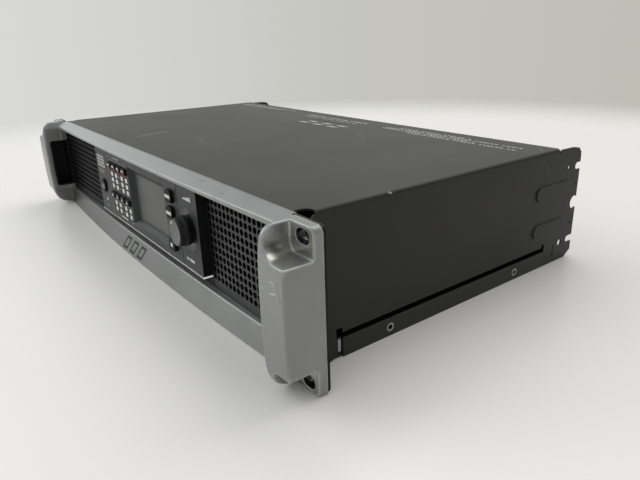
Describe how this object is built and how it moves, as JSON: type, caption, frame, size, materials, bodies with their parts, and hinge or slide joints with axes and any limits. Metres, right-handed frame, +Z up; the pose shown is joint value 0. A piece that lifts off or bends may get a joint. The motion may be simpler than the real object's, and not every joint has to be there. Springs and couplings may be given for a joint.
{
  "type": "rack power amplifier",
  "caption": "Two-unit rack power amplifier: cast silver front frame with carrying handles, recessed grilles and control panel, black sheet-steel chassis, rear fan and sockets.",
  "frame": {"origin": "centre of the four-slot rack pattern on the mounting plane, the rear face of the rack ears", "axes": "+X to the right seen from the front, +Y towards the rear of the chassis, +Z up"},
  "size_m": [0.4826, 0.2783, 0.0882],
  "materials": {
    "silver_casting": "satin silver-grey paint on a casting",
    "black_steel": "satin black",
    "black_plastic": "matt black",
    "grille_steel": "satin black",
    "fascia_plastic": "fine-textured dark grey",
    "bright_trim": "bright silver",
    "window_glass": "grey tinted, glossy",
    "lcd_body": "matt grey-green",
    "circuit_board": "green solder mask",
    "light_pipe": "milky white",
    "zinc_steel": "zinc plated",
    "knob_rubber": "matt black",
    "knob_face": "satin grey",
    "black_paint": "fine-textured charcoal black powder coat",
    "black_screw": "black oxide",
    "brass": "plain",
    "heatsink_aluminium": "extruded",
    "ferrite": "dull black",
    "copper_winding": "enamelled copper",
    "capacitor_sleeve": "shrink sleeve",
    "blue_black_plastic": "satin",
    "cable_grey": "flat ribbon",
    "cable_brown": "insulated wire",
    "button_plastic": "satin black"
  },
  "bodies": {
    "chassis": {"front_bezel": "silver_casting", "front_plate": "black_steel", "left_grip_liner": "black_plastic", "right_grip_liner": "black_plastic", "left_grille": "grille_steel", "right_grille": "grille_steel", "control_fascia": "fascia_plastic", "fascia_trim": "bright_trim", "display_window": "window_glass", "lcd_module": "lcd_body", "control_board": "circuit_board", "tact_switches": "black_plastic", "led_light_pipes": "light_pipe", "encoder_body": "zinc_steel", "encoder_nut": "zinc_steel", "fascia_screws": "zinc_steel", "bezel_screws": "zinc_steel", "top_cover": "black_paint", "bottom_tray": "black_paint", "rear_panel": "black_paint", "side_inserts": "zinc_steel", "cover_screws": "black_screw", "base_screws": "black_screw", "main_board": "circuit_board", "board_standoffs": "brass", "board_screws": "zinc_steel", "left_heatsink": "heatsink_aluminium", "right_heatsink": "heatsink_aluminium", "output_transistors": "black_plastic", "transformer_core": "ferrite", "transformer_winding": "copper_winding", "bulk_capacitors": "capacitor_sleeve", "output_inductors": "copper_winding", "fan_frame": "black_plastic", "fan_guard": "zinc_steel", "fan_screws": "zinc_steel", "mains_inlet": "black_plastic", "inlet_pins": "brass", "input_sockets": "black_plastic", "speaker_sockets": "blue_black_plastic", "connector_screws": "zinc_steel", "data_ports": "zinc_steel", "ribbon_cable": "cable_grey", "mains_wiring": "cable_brown"},
    "encoder": {"encoder_shaft": "zinc_steel", "encoder_knob": "knob_rubber", "knob_cap": "knob_face"},
    "fan_wheel": {"fan_rotor": "black_plastic"},
    "mute_button_1": {"mute_button_1": "button_plastic"},
    "mute_button_2": {"mute_button_2": "button_plastic"},
    "mute_button_3": {"mute_button_3": "button_plastic"},
    "mute_button_4": {"mute_button_4": "button_plastic"},
    "select_button_1": {"select_button_1": "button_plastic"},
    "select_button_2": {"select_button_2": "button_plastic"},
    "select_button_3": {"select_button_3": "button_plastic"},
    "select_button_4": {"select_button_4": "button_plastic"},
    "power_button": {"power_button": "button_plastic"},
    "exit_button": {"exit_button": "button_plastic"},
    "enter_button": {"enter_button": "button_plastic"},
    "id_button": {"id_button": "button_plastic"}
  },
  "joints": [
    {"name": "encoder_turn", "type": "hinge", "parent": "chassis", "child": "encoder", "pos_m": [0.1045, -0.01, 0.0078], "axis": [0, 1, 0], "continuous": true},
    {"name": "fan_spin", "type": "hinge", "parent": "chassis", "child": "fan_wheel", "pos_m": [-0.07, 0.209, -0.0004], "axis": [0, 1, 0], "continuous": true},
    {"name": "mute_1_press", "type": "slide", "parent": "chassis", "child": "mute_button_1", "axis": [0, 1, 0], "range_m": [0, 0.0006], "stiffness_N_per_m": 600},
    {"name": "mute_2_press", "type": "slide", "parent": "chassis", "child": "mute_button_2", "axis": [0, 1, 0], "range_m": [0, 0.0006], "stiffness_N_per_m": 600},
    {"name": "mute_3_press", "type": "slide", "parent": "chassis", "child": "mute_button_3", "axis": [0, 1, 0], "range_m": [0, 0.0006], "stiffness_N_per_m": 600},
    {"name": "mute_4_press", "type": "slide", "parent": "chassis", "child": "mute_button_4", "axis": [0, 1, 0], "range_m": [0, 0.0006], "stiffness_N_per_m": 600},
    {"name": "select_1_press", "type": "slide", "parent": "chassis", "child": "select_button_1", "axis": [0, 1, 0], "range_m": [0, 0.0006], "stiffness_N_per_m": 600},
    {"name": "select_2_press", "type": "slide", "parent": "chassis", "child": "select_button_2", "axis": [0, 1, 0], "range_m": [0, 0.0006], "stiffness_N_per_m": 600},
    {"name": "select_3_press", "type": "slide", "parent": "chassis", "child": "select_button_3", "axis": [0, 1, 0], "range_m": [0, 0.0006], "stiffness_N_per_m": 600},
    {"name": "select_4_press", "type": "slide", "parent": "chassis", "child": "select_button_4", "axis": [0, 1, 0], "range_m": [0, 0.0006], "stiffness_N_per_m": 600},
    {"name": "power_press", "type": "slide", "parent": "chassis", "child": "power_button", "axis": [0, 1, 0], "range_m": [0, 0.0006], "stiffness_N_per_m": 600},
    {"name": "exit_press", "type": "slide", "parent": "chassis", "child": "exit_button", "axis": [0, 1, 0], "range_m": [0, 0.0006], "stiffness_N_per_m": 600},
    {"name": "enter_press", "type": "slide", "parent": "chassis", "child": "enter_button", "axis": [0, 1, 0], "range_m": [0, 0.0006], "stiffness_N_per_m": 600},
    {"name": "id_press", "type": "slide", "parent": "chassis", "child": "id_button", "axis": [0, 1, 0], "range_m": [0, 0.0006], "stiffness_N_per_m": 600}
  ]
}
